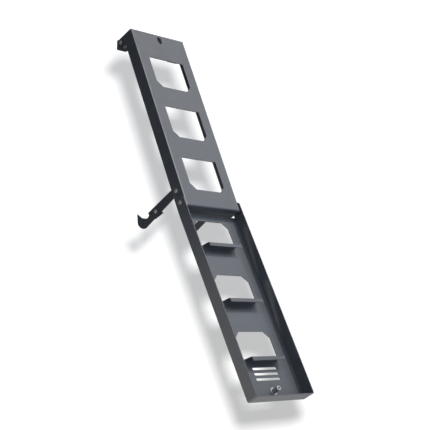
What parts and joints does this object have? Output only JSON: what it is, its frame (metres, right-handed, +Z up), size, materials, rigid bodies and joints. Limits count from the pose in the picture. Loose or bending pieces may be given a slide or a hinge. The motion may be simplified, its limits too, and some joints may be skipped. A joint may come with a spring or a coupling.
{
  "type": "folding vehicle rear ladder",
  "caption": "Folding sheet metal rear ladder with foot openings and treads, swinging hook arms, a lock stud and a wall bracket.",
  "frame": {"origin": "centre of the flat back face of the mounting bracket", "axes": "+Y into the wall or door that the bracket bolts to, +Z up, +X to the right seen from in front; the ladder stands leaning out, as in use"},
  "size_m": [0.2724, 0.7155, 1.2593],
  "materials": {
    "powder_coat": "satin",
    "bolt_steel": "satin"
  },
  "bodies": {
    "upper": {"left_arm_pivot_bolt": "bolt_steel", "left_arm_pivot_nut": "bolt_steel", "left_arm_pivot_spacer": "bolt_steel", "left_bracket_bolt": "bolt_steel", "left_bracket_nut": "bolt_steel", "left_hinge_bolt": "bolt_steel", "left_hinge_nut": "bolt_steel", "left_hinge_spacer": "bolt_steel", "mount_bracket": "powder_coat", "right_arm_pivot_bolt": "bolt_steel", "right_arm_pivot_nut": "bolt_steel", "right_arm_pivot_spacer": "bolt_steel", "right_bracket_bolt": "bolt_steel", "right_bracket_nut": "bolt_steel", "right_hinge_bolt": "bolt_steel", "right_hinge_nut": "bolt_steel", "right_hinge_spacer": "bolt_steel", "upper_pan": "powder_coat"},
    "lower": {"lower_pan": "powder_coat", "lower_tread_1": "powder_coat", "lower_tread_2": "powder_coat", "lower_tread_3": "powder_coat", "lock_stud": "bolt_steel", "lock_washer": "bolt_steel", "lock_nut": "bolt_steel"},
    "left_arm": {"left_arm": "powder_coat", "left_arm_angle": "powder_coat", "left_arm_angle_bolt": "bolt_steel", "left_arm_angle_nut": "bolt_steel"},
    "right_arm": {"right_arm": "powder_coat", "right_arm_angle": "powder_coat", "right_arm_angle_bolt": "bolt_steel", "right_arm_angle_nut": "bolt_steel"}
  },
  "joints": [
    {"name": "fold", "type": "hinge", "parent": "upper", "child": "lower", "pos_m": [0, -0.36095, -0.58677], "axis": [-1, 0, 0], "range_deg": [0, 176.83]},
    {"name": "left_arm_swing", "type": "hinge", "parent": "upper", "child": "left_arm", "pos_m": [-0.1155, -0.33049, -0.5459], "axis": [1, 0, 0], "range_deg": [0, 88]},
    {"name": "right_arm_swing", "type": "hinge", "parent": "upper", "child": "right_arm", "pos_m": [0.1155, -0.33049, -0.5459], "axis": [1, 0, 0], "range_deg": [0, 88]}
  ]
}
